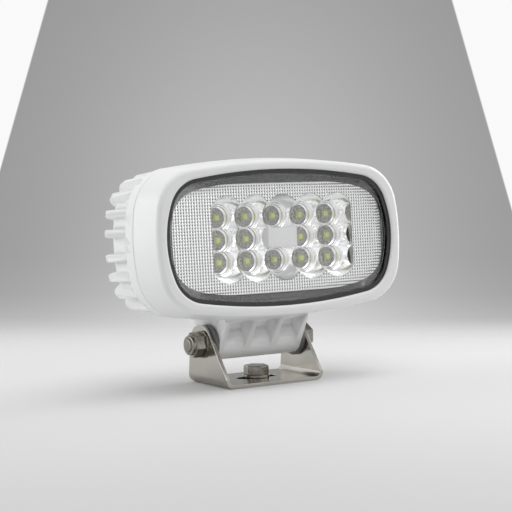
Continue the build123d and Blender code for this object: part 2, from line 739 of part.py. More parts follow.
with BuildPart() as housing:
    with BuildSketch(face_plane(seam)):
        add(head_outline(seam_half_width, seam_half_height, shell_form))
    extrude(amount=-(rim_back - seam))
    chamfer(housing.faces().sort_by(Axis.Y)[0].edges(), seam_chamfer)
    with BuildSketch(face_plane(rim_back)):
        add(head_outline(core_half_width, core_half_height, shell_form))
    extrude(amount=-(core_back - rim_back), taper=core_draft)
    fillet(housing.faces().sort_by(Axis.Y)[-1].edges(), core_back_round)
    for place in fin_places:
        add(place * fin)
    with BuildSketch(face_plane(core_back)):
        add(head_outline(seam_half_width - plateau_inset, seam_half_height - plateau_inset, shell_form))
    extrude(amount=-plateau_rise)
    with BuildSketch(foot_plane):
        with BuildLine():
            Line(front_touch, (foot_front_y, foot_front_z))
            Line((foot_front_y, foot_front_z), (foot_front_y, foot_top_z))
            Line((foot_front_y, foot_top_z), (foot_back_y - fin_corner, foot_top_z))
            Line((foot_back_y - fin_corner, foot_top_z), (foot_back_y, foot_back_z))
            Line((foot_back_y, foot_back_z), back_touch)
            ThreePointArc(back_touch, (0, -boss_radius), front_touch)
        make_face()
    extrude(amount=foot_half_width, both=True)
    with BuildSketch(foot_plane):
        Polygon((root_front_y, root_low_z), (root_back_y, root_low_z), (root_back_y, foot_top_z),
                (root_front_y, foot_top_z), align=None)
    extrude(amount=root_half_width, both=True)
    with BuildSketch(face_plane(spigot_front)):
        add(head_outline(spigot_half_width, spigot_half_height))
    extrude(amount=-spigot_height)
    for index in range(pocket_count):
        pocket_x = (index - (pocket_count - 1) / 2) * pocket_pitch
        with BuildSketch(foot_plane.offset(pocket_x - pocket_width / 2)):
            with BuildLine():
                Polyline(front_touch, (foot_front_y, foot_front_z), pocket_top, pocket_low, close=True)
            make_face()
            Circle(boss_radius, mode=Mode.SUBTRACT)
        extrude(amount=pocket_width, mode=Mode.SUBTRACT)
    with BuildSketch(face_plane(spigot_front)):
        add(head_outline(spreader_half_width, spreader_half_height))
    extrude(amount=spigot_front - ledge_depth, mode=Mode.SUBTRACT)
    with BuildSketch(face_plane(ledge_depth)):
        add(head_outline(spreader_half_width - ledge, spreader_half_height - ledge))
        with GridLocations(board_screw_x, 2 * board_screw_z, board_screw_columns, 2):
            Circle(column_radius, mode=Mode.SUBTRACT)
    extrude(amount=-(cavity_back - ledge_depth), mode=Mode.SUBTRACT)
    with BuildSketch(face_plane(ledge_depth)):
        with GridLocations(board_screw_x, 2 * board_screw_z, board_screw_columns, 2):
            Circle(screw_radius)
    extrude(amount=-screw_length, mode=Mode.SUBTRACT)
    with BuildSketch(face_plane(cavity_back)):
        with Locations(*driver_screw_spots):
            Circle(standoff_radius)
    extrude(amount=standoff_height)
    with BuildSketch(face_plane(driver_back)):
        with Locations(*driver_screw_spots):
            Circle(screw_radius)
    extrude(amount=-standoff_height, mode=Mode.SUBTRACT)
    with BuildSketch(face_plane(seal_front)):
        add(head_outline(seam_half_width, seam_half_height, shell_form))
        add(head_outline(spigot_half_width - seal_depth, spigot_half_height - seal_depth),
            mode=Mode.SUBTRACT)
    extrude(amount=-seal_width, mode=Mode.SUBTRACT)
    with BuildSketch(face_plane(seam)):
        with Locations(*screw_spots):
            Circle(bezel_screw_radius + screw_hole_gap)
    extrude(amount=-(rim_back - seam), mode=Mode.SUBTRACT)
    with BuildSketch(face_plane(plateau_back)):
        with Locations((0, gland_z)):
            Circle(gland_thread_radius + thread_gap)
        with Locations((vent_x, gland_z)):
            Circle(vent_thread_radius + thread_gap)
    extrude(amount=plateau_back - cavity_back, mode=Mode.SUBTRACT)
    with BuildSketch(foot_plane.offset(-foot_half_width)):
        Circle(bolt_radius + foot_bore_gap)
    extrude(amount=2 * foot_half_width, mode=Mode.SUBTRACT)
    for start in (-foot_half_width, foot_half_width - bush_spigot):
        with BuildSketch(foot_plane.offset(start)):
            Circle(bush_spigot_radius + bush_fit)
        extrude(amount=bush_spigot, mode=Mode.SUBTRACT)
save(housing, "housing", on_head=True)

# Seal round the housing's spigot
with BuildPart() as housing_seal:
    with BuildSketch(face_plane(seal_front)):
        add(head_outline(bezel_bore_half_width - seal_clearance, bezel_bore_half_height - seal_clearance))
        add(head_outline(spigot_half_width - seal_depth + seal_clearance,
                         spigot_half_height - seal_depth + seal_clearance), mode=Mode.SUBTRACT)
    extrude(amount=-seal_width)
save(housing_seal, "housing_seal", on_head=True)

# Screws from behind, which hold the bezel
with BuildPart() as bezel_screws:
    with BuildSketch(face_plane(rim_back)):
        with Locations(*screw_spots):
            Circle(bezel_screw_head_radius)
    extrude(amount=-bezel_screw_head)
    with BuildSketch(face_plane(rim_back)):
        with Locations(*screw_spots):
            Circle(bezel_screw_radius - thread_gap)
    extrude(amount=rim_back - seam + bezel_screw_bite)
save(bezel_screws, "bezel_screws", on_head=True)

# Driver board on its standoffs, with what it carries
with BuildPart() as driver_board:
    with BuildSketch(face_plane(driver_back)):
        with Locations((0, driver_z)):
            Rectangle(driver_width, driver_height)
        with Locations(*driver_screw_spots):
            Circle(screw_radius + screw_hole_gap, mode=Mode.SUBTRACT)
    extrude(amount=board_thickness)
save(driver_board, "driver_board", on_head=True)

with BuildPart() as driver_screws:
    with BuildSketch(face_plane(driver_front)):
        with Locations(*driver_screw_spots):
            Circle(screw_head_radius)
    extrude(amount=screw_head_height)
    with BuildSketch(face_plane(driver_front)):
        with Locations(*driver_screw_spots):
            Circle(screw_radius - thread_gap)
    extrude(amount=-(board_thickness + standoff_height))
save(driver_screws, "driver_screws", on_head=True)

with BuildPart() as driver_chokes:
    with BuildSketch(face_plane(driver_front)):
        with Locations(*[(x, driver_z + z) for x, z in choke_spots]):
            Circle(choke_radius)
            Circle(choke_bore, mode=Mode.SUBTRACT)
    extrude(amount=choke_height)
    chamfer(driver_chokes.faces().sort_by(Axis.Y)[:len(choke_spots)].edges(), choke_bore / 4)
save(driver_chokes, "driver_chokes", on_head=True)

with BuildPart() as driver_capacitors:
    with BuildSketch(face_plane(driver_front)):
        with Locations(*[(x, driver_z + z) for x, z in capacitor_spots]):
            Circle(capacitor_radius)
    extrude(amount=capacitor_height)
save(driver_capacitors, "driver_capacitors", on_head=True)

with BuildPart() as driver_chips:
    with BuildSketch(face_plane(driver_front)):
        with Locations(*[(x, driver_z + z) for x, z in chip_spots]):
            Rectangle(chip_width, chip_height)
    extrude(amount=chip_rise)
save(driver_chips, "driver_chips", on_head=True)

with BuildPart() as terminal_block:
    with BuildSketch(face_plane(driver_front)):
        with Locations((terminal_x, driver_z)):
            Rectangle(terminal_width, terminal_height)
    extrude(amount=terminal_rise)
save(terminal_block, "terminal_block", on_head=True)

with BuildPart() as led_leads:
    with BuildSketch(face_plane(driver_front - terminal_rise)):
        with Locations(*lead_spots):
            Circle(lead_radius)
    extrude(amount=driver_front - terminal_rise - board_front + lead_stub)
save(led_leads, "led_leads", on_head=True)

# Cable gland: body screwed into the rear wall, rubber seal and cap nut
gland_face = plateau_back + gland_flange
gland_place = (0, gland_z)
with BuildPart() as gland_body:
    with BuildSketch(face_plane(plateau_back)):
        with Locations(gland_place):
            Circle(gland_thread_radius)
    extrude(amount=plateau_back - cavity_back)
    with BuildSketch(face_plane(plateau_back)):
        with Locations(gland_place):
            RegularPolygon(gland_flats / 2 / cos(pi / 6), 6)
    extrude(amount=-gland_flange)
    with BuildSketch(face_plane(gland_face)):
        with Locations(gland_place):
            Circle(gland_barrel_radius)
    extrude(amount=-gland_barrel)
    with BuildSketch(face_plane(cavity_back)):
        with Locations(gland_place):
            Circle(cable_radius + cable_gap)
    extrude(amount=-(gland_face - cavity_back), mode=Mode.SUBTRACT)
    with BuildSketch(face_plane(gland_face)):
        with Locations(gland_place):
            Circle(gland_seal_radius)
    extrude(amount=-gland_barrel, mode=Mode.SUBTRACT)
save(gland_body, "gland_body", on_head=True)

with BuildPart() as gland_seal:
    with BuildSketch(face_plane(gland_face)):
        with Locations(gland_place):
            Circle(gland_seal_radius - seal_clearance)
            Circle(cable_radius, mode=Mode.SUBTRACT)
    extrude(amount=-gland_barrel)
save(gland_seal, "gland_seal", on_head=True)

with BuildPart() as gland_nut:
    with BuildSketch(face_plane(gland_face + face_gap)):
        with Locations(gland_place):
            Circle(gland_nut_radius)
    extrude(amount=-gland_nut_length)
    fillet(gland_nut.faces().sort_by(Axis.Y)[-1].edges(), gland_nut_radius - gland_nut_mouth - hex_chamfer)
    with BuildSketch(face_plane(gland_face + face_gap)):
        with Locations(gland_place):
            Circle(gland_nut_mouth)
    extrude(amount=-gland_nut_length, mode=Mode.SUBTRACT)
    with BuildSketch(face_plane(gland_face + face_gap)):
        with Locations(gland_place):
            Circle(gland_barrel_radius + seal_clearance)
    extrude(amount=-gland_barrel, mode=Mode.SUBTRACT)
save(gland_nut, "gland_nut", on_head=True)

# Pressure vent and the ring under its cap
vent_place = (vent_x, gland_z)
with BuildPart() as vent_plug:
    with BuildSketch(face_plane(plateau_back + vent_ring)):
        with Locations(vent_place):
            Circle(vent_cap_radius)
    extrude(amount=-vent_cap)
    fillet(vent_plug.faces().sort_by(Axis.Y)[-1].edges(), hex_chamfer)
    with BuildSketch(face_plane(plateau_back + vent_ring)):
        with Locations(vent_place):
            Circle(vent_thread_radius)
    extrude(amount=plateau_back + vent_ring - cavity_back)
save(vent_plug, "vent_plug", on_head=True)

with BuildPart() as vent_ring_seal:
    with BuildSketch(face_plane(plateau_back)):
        with Locations(vent_place):
            Circle(vent_ring_radius)
            Circle(vent_thread_radius + seal_clearance, mode=Mode.SUBTRACT)
    extrude(amount=-vent_ring)
save(vent_ring_seal, "vent_ring_seal", on_head=True)
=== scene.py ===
"""Looks of the marine spreader light: a white finned head in a stainless U bracket, on a pale studio floor.

Metres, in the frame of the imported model: X to the right seen from the front, the light shines towards -Y,
Z up from the underside of the bracket.
"""
import bpy
import json
from math import cos, pi, radians, sin
from mathutils import Euler, Matrix, Vector

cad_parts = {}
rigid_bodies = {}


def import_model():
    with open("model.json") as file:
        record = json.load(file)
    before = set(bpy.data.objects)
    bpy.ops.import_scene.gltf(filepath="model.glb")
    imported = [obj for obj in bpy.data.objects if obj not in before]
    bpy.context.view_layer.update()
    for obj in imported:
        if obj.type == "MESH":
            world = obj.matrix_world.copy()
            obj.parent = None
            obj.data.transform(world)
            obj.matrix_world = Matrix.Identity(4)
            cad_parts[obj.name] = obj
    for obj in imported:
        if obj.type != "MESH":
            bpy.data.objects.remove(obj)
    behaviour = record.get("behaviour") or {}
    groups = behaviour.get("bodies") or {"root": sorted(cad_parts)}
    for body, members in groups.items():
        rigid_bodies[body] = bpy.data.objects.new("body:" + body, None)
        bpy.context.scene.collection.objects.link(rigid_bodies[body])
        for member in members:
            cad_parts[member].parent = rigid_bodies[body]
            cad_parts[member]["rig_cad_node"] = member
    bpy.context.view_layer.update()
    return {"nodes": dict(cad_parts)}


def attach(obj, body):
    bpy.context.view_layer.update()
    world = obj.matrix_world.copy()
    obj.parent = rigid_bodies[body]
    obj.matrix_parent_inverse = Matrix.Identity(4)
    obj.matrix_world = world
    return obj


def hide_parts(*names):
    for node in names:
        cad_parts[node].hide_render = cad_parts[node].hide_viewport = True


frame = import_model()
bpy.ops.object.select_all(action="DESELECT")


# Camera
# A long lens a little above the head's middle, well to the left of the front.
# The photograph leans by less than a degree, so the camera is rolled by that much.
camera_place = (-0.5095, -0.7624, 0.1373)
camera_yaw = radians(33.8)
camera_pitch = radians(3.99)
camera_roll = radians(0.7)
focal_pixels = 1573.0
frame_pixels = 512
film_width = 36.0
nearest_seen = 0.01
furthest_seen = 50

bpy.ops.object.camera_add(location=camera_place)
camera = bpy.context.object
camera.name = "camera"
camera_turn = (Euler((pi / 2 - camera_pitch, 0, -camera_yaw)).to_matrix()
               @ Matrix.Rotation(-camera_roll, 3, "Z"))
camera.rotation_euler = camera_turn.to_euler()
camera.data.sensor_width = film_width
camera.data.lens = focal_pixels / frame_pixels * film_width
camera.data.clip_start = nearest_seen
camera.data.clip_end = furthest_seen
bpy.context.scene.camera = camera


# Studio
# A pale floor before a grey backdrop, brightest in its middle, between two white panels that lean.
# All but the floor is painted in the world. Three soft lamps: behind on the left, on the right and above.
floor_reach = 3.0
floor_shade = 0.725
floor_front_painted_shade = 0.60
floor_front_start = -0.4
floor_front_end = -0.05
floor_fade_start = 0.10
floor_fade_end = 0.32
floor_near_start = 0.45
floor_near_end = 1.0
backdrop_low = 0.25
backdrop_scale = 0.5
backdrop_edges = ((0.10, 0.62), (0.1733, 0.66), (0.1955, 0.68), (0.2210, 0.69), (0.2242, 0.645),
                  (0.2305, 0.43), (0.2369, 0.345), (0.2496, 0.31), (0.274, 0.31), (0.3314, 0.30))
backdrop_middle = ((0.10, 0.62), (0.1733, 0.72), (0.1955, 0.74), (0.2242, 0.73), (0.2305, 0.66),
                   (0.2369, 0.60), (0.2496, 0.54), (0.2623, 0.51), (0.2878, 0.48), (0.3314, 0.39))
glow_base = 2.718
glow_fall = -70.0
panel_level = 0.1627
panel_left = 0.1322
panel_left_lean = 0.2824
panel_right = 0.1246
panel_right_lean = 0.2854
panel_blur = 0.0006
panel_foot = -0.05
panel_light = 0.95
least_forward = 0.05
ahead_start = 0.3
ahead_end = 0.7
fill_light = 0.52
front_light = 1.0
front_dip = 0.45
front_dip_start = 0.72
front_dip_end = 0.97
side_shade = 0.55
lamp_aim = Vector((0, 0, 0.08))


class Signal:
    """One output of a node, or a fixed value, in the node tree of a finish."""

    def __init__(self, tree, socket):
        self.tree = tree
        self.socket = socket

    def node(self, kind, settings=None, sockets=None, out=0):
        """Add a node: its settings first, then the values or links of its sockets."""
        made = self.tree.nodes.new(kind)
        for name, value in (settings or {}).items():
            if name == "stops":
                ends = made.color_ramp.elements
                ends[0].position, ends[-1].position = value[0][0], value[-1][0]
                ends[0].color, ends[-1].color = (value[0][1],) * 3 + (1,), (value[-1][1],) * 3 + (1,)
                for at, shade in value[1:-1]:
                    ends.new(at).color = (shade,) * 3 + (1,)
            else:
                setattr(made, name, value)
        for name, value in (sockets or {}).items():
            if isinstance(value, Signal):
                self.tree.links.new(value.socket, made.inputs[name])
            else:
                made.inputs[name].default_value = value
        return Signal(self.tree, made.outputs[out])

    def maths(self, operation, first, second):
        return self.node("ShaderNodeMath", {"operation": operation}, {0: first, 1: second})

    def __add__(self, other):
        return self.maths("ADD", self, other)

    def __radd__(self, other):
        return self.maths("ADD", other, self)

    def __sub__(self, other):
        return self.maths("SUBTRACT", self, other)

    def __rsub__(self, other):
        return self.maths("SUBTRACT", other, self)

    def __mul__(self, other):
        return self.maths("MULTIPLY", self, other)

    def __rmul__(self, other):
        return self.maths("MULTIPLY", other, self)

    def __truediv__(self, other):
        return self.maths("DIVIDE", self, other)

    def __rtruediv__(self, other):
        return self.maths("DIVIDE", other, self)

    def __pow__(self, other):
        return self.maths("POWER", self, other)

    def __rpow__(self, other):
        return self.maths("POWER", other, self)

    def most(self, other):
        """The larger of two values."""
        return self.maths("MAXIMUM", self, other)

    def rise(self, low, high):
        """From 0 at low to 1 at high, smoothly."""
        return self.node("ShaderNodeMapRange", {"interpolation_type": "SMOOTHSTEP"},
                         {"Value": self, "From Min": low, "From Max": high})

    def ramp(self, stops):
        """Grey that follows stops of place and shade."""
        return self.node("ShaderNodeValToRGB", {"stops": stops}, {"Fac": self})

    def between(self, low, high):
        """From low to high as this value goes from 0 to 1."""
        return self * (high - low) + low

    def fold(self, width):
        """Rises from 0 to 1 and falls back over every width, as a row of grooves."""
        return self.maths("PINGPONG", self, width / 2) / (width / 2)

    def dot(self, axis):
        """Share of a vector along an axis."""
        return self.node("ShaderNodeVectorMath", {"operation": "DOT_PRODUCT"}, {0: self, 1: tuple(axis)},
                         out="Value")

    def blend(self, first, second):
        """Colour that goes from first to second as this value goes from 0 to 1."""
        first, second = ((*c, 1) if isinstance(c, tuple) else c for c in (first, second))
        return self.node("ShaderNodeMix", {"data_type": "RGBA"}, {0: self, 6: first, 7: second}, out=2)

    def noise(self, waves, detail=2.0, roughness=0.5, stretch=None):
        """Soft random pattern between 0 and 1, of so many waves per metre."""
        place = self
        if stretch:
            place = self.node("ShaderNodeMapping", sockets={"Vector": self, "Scale": stretch})
        return self.node("ShaderNodeTexNoise", sockets={"Vector": place, "Scale": waves, "Detail": detail,
                                                        "Roughness": roughness})

    def feed(self, shader, socket):
        self.tree.links.new(self.socket, shader.inputs[socket])


def new_finish(name, roughness, metallic=0.0, color=None, **sockets):
    """A material with a Principled shader, and a Signal of the place on the piece."""
    material = bpy.data.materials.new(name)
    material.use_nodes = True
    shader = material.node_tree.nodes["Principled BSDF"]
    shader.inputs["Roughness"].default_value = roughness
    shader.inputs["Metallic"].default_value = metallic
    if color:
        shader.inputs["Base Color"].default_value = (*color, 1)
    for socket, value in sockets.items():
        shader.inputs[socket.replace("_", " ")].default_value = value
    place = Signal(material.node_tree, None).node("ShaderNodeTexCoord", out="Object")
    return material, shader, place


bpy.ops.mesh.primitive_plane_add(size=2 * floor_reach, location=(0, 0, 0))
floor = bpy.context.object
floor.name = "floor"
floor_finish, shader, place = new_finish("studio_floor", roughness=0.7)
away = place.node("ShaderNodeVectorMath", {"operation": "LENGTH"}, {0: place}, out="Value")
back = place.dot((sin(camera_yaw), cos(camera_yaw), 0))
# The floor is painted darker towards the camera: painted shade, for the lamps' light falling off towards
# the front.
back.rise(floor_front_start, floor_front_end).blend(
    (floor_front_painted_shade,) * 3, (floor_shade,) * 3).feed(shader, "Base Color")
solid = back.rise(floor_fade_end, floor_fade_start) * away.rise(floor_near_end, floor_near_start)
solid.feed(shader, "Alpha")
floor.data.materials.append(floor_finish)

world = bpy.data.worlds.new("studio")
bpy.context.scene.world = world
world.use_nodes = True
sky = world.node_tree.nodes["Background"]
look = Signal(world.node_tree, None).node("ShaderNodeTexCoord", out="Generated")
forward = look.dot(-camera_turn.col[2])
across = look.dot(camera_turn.col[0]) / forward.most(least_forward)
upward = look.dot(camera_turn.col[1]) / forward.most(least_forward)
height = upward * backdrop_scale + backdrop_low
glow = glow_base ** (across * across * glow_fall)
backdrop = (1 - glow) * height.ramp(backdrop_edges) + glow * height.ramp(backdrop_middle)
left_edge = across + panel_left + (panel_level - upward) * panel_left_lean
right_edge = panel_right + (panel_level - upward) * panel_right_lean - across
panels = left_edge.rise(panel_blur, -panel_blur).most(right_edge.rise(panel_blur, -panel_blur))
panels = panels * upward.rise(panel_foot, 0.0)
shade = panels * panel_light + (1 - panels) * backdrop
ahead = forward.rise(ahead_start, ahead_end)
room = front_light - (forward * -1.0).rise(front_dip_start, front_dip_end) * front_dip
seen, mirrored, through = (Signal(world.node_tree, None).node("ShaderNodeLightPath", out=ray)
                           for ray in ("Is Camera Ray", "Is Glossy Ray", "Is Transmission Ray"))
room = seen * side_shade + (1 - seen) * room
shade = ahead * shade + (1 - ahead) * room
painted = seen.most(mirrored).most(through)
shade = painted * shade + (1 - painted) * fill_light
shade.blend((0.0, 0.0, 0.0), (1.0, 1.0, 1.0)).feed(sky, "Color")


def add_lamp(name, place, width, height, power):
    """A large soft rectangular lamp, turned to face the head."""
    bpy.ops.object.light_add(type="AREA", location=place)
    lamp = bpy.context.object
    lamp.name = name
    lamp.data.shape = "RECTANGLE"
    lamp.data.size = width
    lamp.data.size_y = height
    lamp.data.energy = power
    lamp.rotation_euler = (lamp_aim - Vector(place)).to_track_quat("-Z", "Y").to_euler()
    lamp.visible_camera = False


add_lamp("lamp_left", place=(-1.4, 0.9, 0.45), width=1.0, height=1.2, power=10)
add_lamp("lamp_right", place=(1.4, 0.0, 0.5), width=1.0, height=1.2, power=12)
add_lamp("lamp_top", place=(0.1, -0.25, 1.5), width=1.6, height=0.9, power=9)
bpy.context.scene.view_settings.view_transform = "Standard"


# Bracket
# A strip of stainless sheet bent into a U, with a slot in its base and two rounded ears.
# Rolled stainless is warm grey and softly mottled, with a fine grain, and its cut edges are broken.
sheet_corner = 0.00025
merge_reach = 1e-6
flat_angle = radians(0.5)
smooth_angle = radians(30)
corner_angle = radians(35)
corner_steps = 2


def mottled(name, dark, light, waves, roughness, detail=2.0, metallic=0.0, **sockets):
    """A finish whose colour wanders between two shades."""
    material, shader, place = new_finish(name, roughness, metallic, **sockets)
    place.noise(waves, detail).blend(dark, light).feed(shader, "Base Color")
    return material, shader, place


def relief(shader, height, depth, strength, edge=0.0):
    """Bump from a height between 0 and 1, of a depth in metres, over edges rounded by that radius."""
    sockets = {"Height": height, "Distance": depth, "Strength": strength}
    if edge:
        sockets["Normal"] = height.node("ShaderNodeBevel", {"samples": 4}, {"Radius": edge})
    height.node("ShaderNodeBump", sockets=sockets).feed(shader, "Normal")


def pick(piece):
    """Select one piece alone and make it active."""
    bpy.ops.object.select_all(action="DESELECT")
    piece.select_set(True)
    bpy.context.view_layer.objects.active = piece


def finished_copy(node, body, material, corner=0.0):
    """A merged copy that stands for its CAD node, smooth, its corners rounded."""
    pick(frame["nodes"][node])
    bpy.ops.object.duplicate()
    piece = bpy.context.object
    piece.name = node + "_finished"
    del piece["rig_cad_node"]
    piece.parent = None
    bpy.ops.object.mode_set(mode="EDIT")
    bpy.ops.mesh.select_all(action="SELECT")
    bpy.ops.mesh.remove_doubles(threshold=merge_reach)
    bpy.ops.object.mode_set(mode="OBJECT")
    if corner:
        bpy.ops.object.mode_set(mode="EDIT")
        bpy.ops.mesh.dissolve_limited(angle_limit=flat_angle)
        bpy.ops.object.mode_set(mode="OBJECT")
        rounding = piece.modifiers.new("corners", "BEVEL")
        rounding.width = corner
        rounding.segments = corner_steps
        rounding.limit_method = "ANGLE"
        rounding.angle_limit = corner_angle
        bpy.ops.object.modifier_apply(modifier=rounding.name)
    bpy.ops.object.shade_smooth_by_angle(angle=smooth_angle)
    even = piece.modifiers.new("even", "WEIGHTED_NORMAL")
    even.keep_sharp = True
    bpy.ops.object.modifier_apply(modifier=even.name)
    piece.data.materials.clear()
    piece.data.materials.append(material)
    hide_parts(node)
    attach(piece, body)
    return piece


sheet_steel, shader, place = mottled("bracket_steel", dark=(0.37, 0.355, 0.32), light=(0.52, 0.505, 0.465),
                                     waves=55.0, detail=3.0, roughness=0.2, metallic=1.0)
grain = place.noise(waves=900.0, detail=3.0, roughness=0.6, stretch=(0.15, 1.0, 1.0))
(place.noise(waves=160.0).between(0.05, 0.17) + grain.between(0.04, 0.14)).feed(shader, "Roughness")
relief(shader, grain, depth=0.00003, strength=0.5)
finished_copy("bracket", "bracket", sheet_steel, sheet_corner)


# Bolts, washers and nut
# Stainless fasteners: a bolt through the slot, a bolt along the foot with a lock nut on its end.
# Turned and stamped faces are darker than the sheet. The nylon locking ring is painted dark: painted shade.
fastener_corner = 0.00015

machined, shader, place = mottled("bolt_steel", dark=(0.17, 0.16, 0.14), light=(0.38, 0.36, 0.33),
                                  waves=300.0, detail=3.0, roughness=0.3, metallic=1.0)
place.noise(waves=500.0).between(0.10, 0.26).feed(shader, "Roughness")
relief(shader, place.noise(waves=1500.0), depth=0.00002, strength=0.5)
for node, body in (("mounting_bolt", "mounting_bolt"), ("mounting_washer", "washer"),
                   ("pivot_bolt", "bracket"), ("pivot_washers", "bracket"), ("pivot_lock_nut", "bracket")):
    finished_copy(node, body, machined, fastener_corner)

# Painted shade: the locking ring is coloured dark grey for the shade deep inside the nut's collar.
nylon, shader, place = mottled("nut_nylon", dark=(0.14, 0.14, 0.13), light=(0.22, 0.22, 0.20),
                               waves=400.0, roughness=0.45)
finished_copy("lock_nut_insert", "bracket", nylon)


# Pivot bushes
# Grey moulded acetal, flanged, pressed into both ends of the foot and turning against the ears.
bush_corner = 0.0002

acetal, shader, place = mottled("bush_grey", dark=(0.10, 0.10, 0.10), light=(0.17, 0.17, 0.17),
                                waves=250.0, roughness=0.42)
relief(shader, place.noise(waves=2500.0), depth=0.00002, strength=0.4)
for node in ("pivot_bush_left", "pivot_bush_right"):
    finished_copy(node, "head", acetal, bush_corner)


# Housing and bezel
# Two aluminium die castings under one white powder coat, met at a thin seam with a rubber seal.
# The coat is satin, with a faint orange peel, and pulls round every corner of the fins and foot.
paint_edge = 0.0005

paint, shader, place = mottled("head_paint", dark=(0.825, 0.83, 0.83), light=(0.86, 0.865, 0.865),
                               waves=30.0, roughness=0.40, Coat_Weight=0.12, Coat_Roughness=0.25)
place.noise(waves=220.0).between(0.36, 0.44).feed(shader, "Roughness")
relief(shader, place.noise(waves=1100.0), depth=0.00004, strength=0.35, edge=paint_edge)
for node in ("housing", "bezel"):
    finished_copy(node, "head", paint)

rubber, shader, place = mottled("black_rubber", dark=(0.010, 0.010, 0.010), light=(0.03, 0.03, 0.03),
                                waves=500.0, roughness=0.25)
relief(shader, place.noise(waves=3000.0), depth=0.00002, strength=0.3)
for node in ("lens_gasket", "housing_seal", "vent_ring_seal"):
    finished_copy(node, "head", rubber)


# Reflector
# One plate of polycarbonate, metallised like chrome: overlapping cups, one for each LED, and a bare middle.
# Round the cups the face is a fine grid of pyramids, and every cup steps down to its LED.
rest_tilt = radians(4.2)
pivot_place = Vector((0, 0.0048, 0.0237))
light_axis = 0.0593
pyramid_pitch = 0.00175
pyramid_height = 0.00055
pyramid_columns = 85
pyramid_rows = 38
pyramid_foot = -0.03575
pattern_skin = 0.0004
pattern_half_width = 0.0719
pattern_half_height = 0.0314
pattern_depth = 0.004
outline_power = 3.9
outline_corners = 120
border_painted_shade = (0.21, 0.21, 0.21)
border_blur = 0.01
border_ridge = 0.016
groove_start = 0.22
groove_end = 0.62
cup_shift = 0.0024
cup_pitch_x = 0.019
cup_pitch_z = 0.0127
cup_columns = (-2, -1, 0, 1, 2)
cup_rows = (-1, 0, 1)
cup_field_half = 0.0484
cup_field_rise = 0.0255
cup_foot = -0.0242
cup_depth = 0.0114
cup_wall = 0.0008
cup_sides = 96
cup_smooth = radians(20)
mouth_radius = 0.012
mouth_sides = 72
block_depth = cup_depth - 0.00005
middle_width = 0.020
middle_height = 0.011
middle_depth = cup_depth - 0.0006
middle_round = 0.0006
middle_steps = 4
middle_smooth = radians(15)
# Half the section of a cup, as radius and rise from its foot to past its mouth.
cup_points = ((0, -0.0006), (0.0054, -0.0006), (0.0054, 0.0002), (0.00575, 0.0006), (0.00645, 0.0010),
              (0.00675, 0.00155), (0.0074, 0.0020), (0.0077, 0.00255), (0.00825, 0.0030), (0.00873, 0.0035),
              (0.00908, 0.0040), (0.00971, 0.0050), (0.01024, 0.0060), (0.01070, 0.0070), (0.01109, 0.0080),
              (0.01143, 0.0090), (0.01171, 0.0100), (0.01193, 0.0110), (0.0120, 0.0114), (0.0120, 0.0130),
              (0, 0.0130))
cup_spots = [(cup_shift + column * cup_pitch_x, row * cup_pitch_z)
             for row in cup_rows for column in cup_columns if (column, row) != (0, 0)]
head_up = (0, sin(rest_tilt), cos(rest_tilt))
light_height = pivot_place.dot(head_up) + light_axis


def set_in_head(piece, x, v, w):
    """Put a piece that was made facing up at the origin in the tilted head, facing forward."""
    turn = Matrix.Rotation(-rest_tilt, 3, "X")
    pick(piece)
    piece.rotation_euler = (turn @ Matrix.Rotation(pi / 2, 3, "X")).to_euler()
    piece.location = pivot_place + turn @ Vector((x, v, light_axis + w))
    bpy.ops.object.transform_apply(location=True, rotation=True, scale=True)


def box_in_head(name, width, height, depth, v):
    """A box in the middle of the cups, whose own middle lies at v in the head."""
    bpy.ops.mesh.primitive_cube_add(size=1)
    box = bpy.context.object
    box.name = name
    box.scale = (width, height, depth)
    set_in_head(box, cup_shift, v, 0)
    return box


def clip_ends(piece, x):
    """Cut a cup that will stand at x flat where it passes either end of the field of cups."""
    pick(piece)
    bpy.ops.object.mode_set(mode="EDIT")
    for end in (-1, 1):
        bpy.ops.mesh.select_all(action="SELECT")
        bpy.ops.mesh.bisect(plane_co=(cup_shift + end * cup_field_half - x, 0, 0), plane_no=(end, 0, 0),
                            clear_outer=True, use_fill=True)
    bpy.ops.object.mode_set(mode="OBJECT")


def cut_with(piece, cutter, operation, solver="MANIFOLD"):
    """Cut a piece with another one, or keep what both share, and clear the other away."""
    pick(piece)
    cut = piece.modifiers.new("cut", "BOOLEAN")
    cut.operation = operation
    cut.object = cutter
    cut.solver = solver
    bpy.ops.object.modifier_apply(modifier=cut.name)
    bpy.data.objects.remove(cutter)


mirror, shader, place = new_finish("cup_chrome", roughness=0.14, metallic=1.0)
clean = place.noise(waves=90.0).blend((0.95, 0.955, 0.96), (0.98, 0.98, 0.98))
sideways = place.dot((1 / pattern_half_width, 0, 0)) ** 2.0
upright = ((place.dot(head_up) - light_height) / pattern_half_height) ** 2.0
outward = (sideways ** (outline_power / 2) + upright ** (outline_power / 2)) ** (1 / outline_power)
border = outward.rise(1 - border_blur, 1 + border_blur)
# The plain border round the pyramids is painted dark grey: painted shade, for the dark ring seen there
# through the lens's stepped edge.
border.blend(clean, border_painted_shade).feed(shader, "Base Color")
place.noise(waves=300.0).between(0.11, 0.16).feed(shader, "Roughness")
relief(shader, outward.fold(border_ridge) * border, depth=0.0002, strength=0.6)
reflector = finished_copy("reflector", "head", mirror)
window = box_in_head("window", 2 * cup_field_half, 2 * (cup_field_rise - cup_wall), 3 * cup_depth, cup_foot)
cut_with(reflector, window, "DIFFERENCE", solver="EXACT")

prism, shader, place = new_finish("pyramid_chrome", roughness=0.2, metallic=1.0)
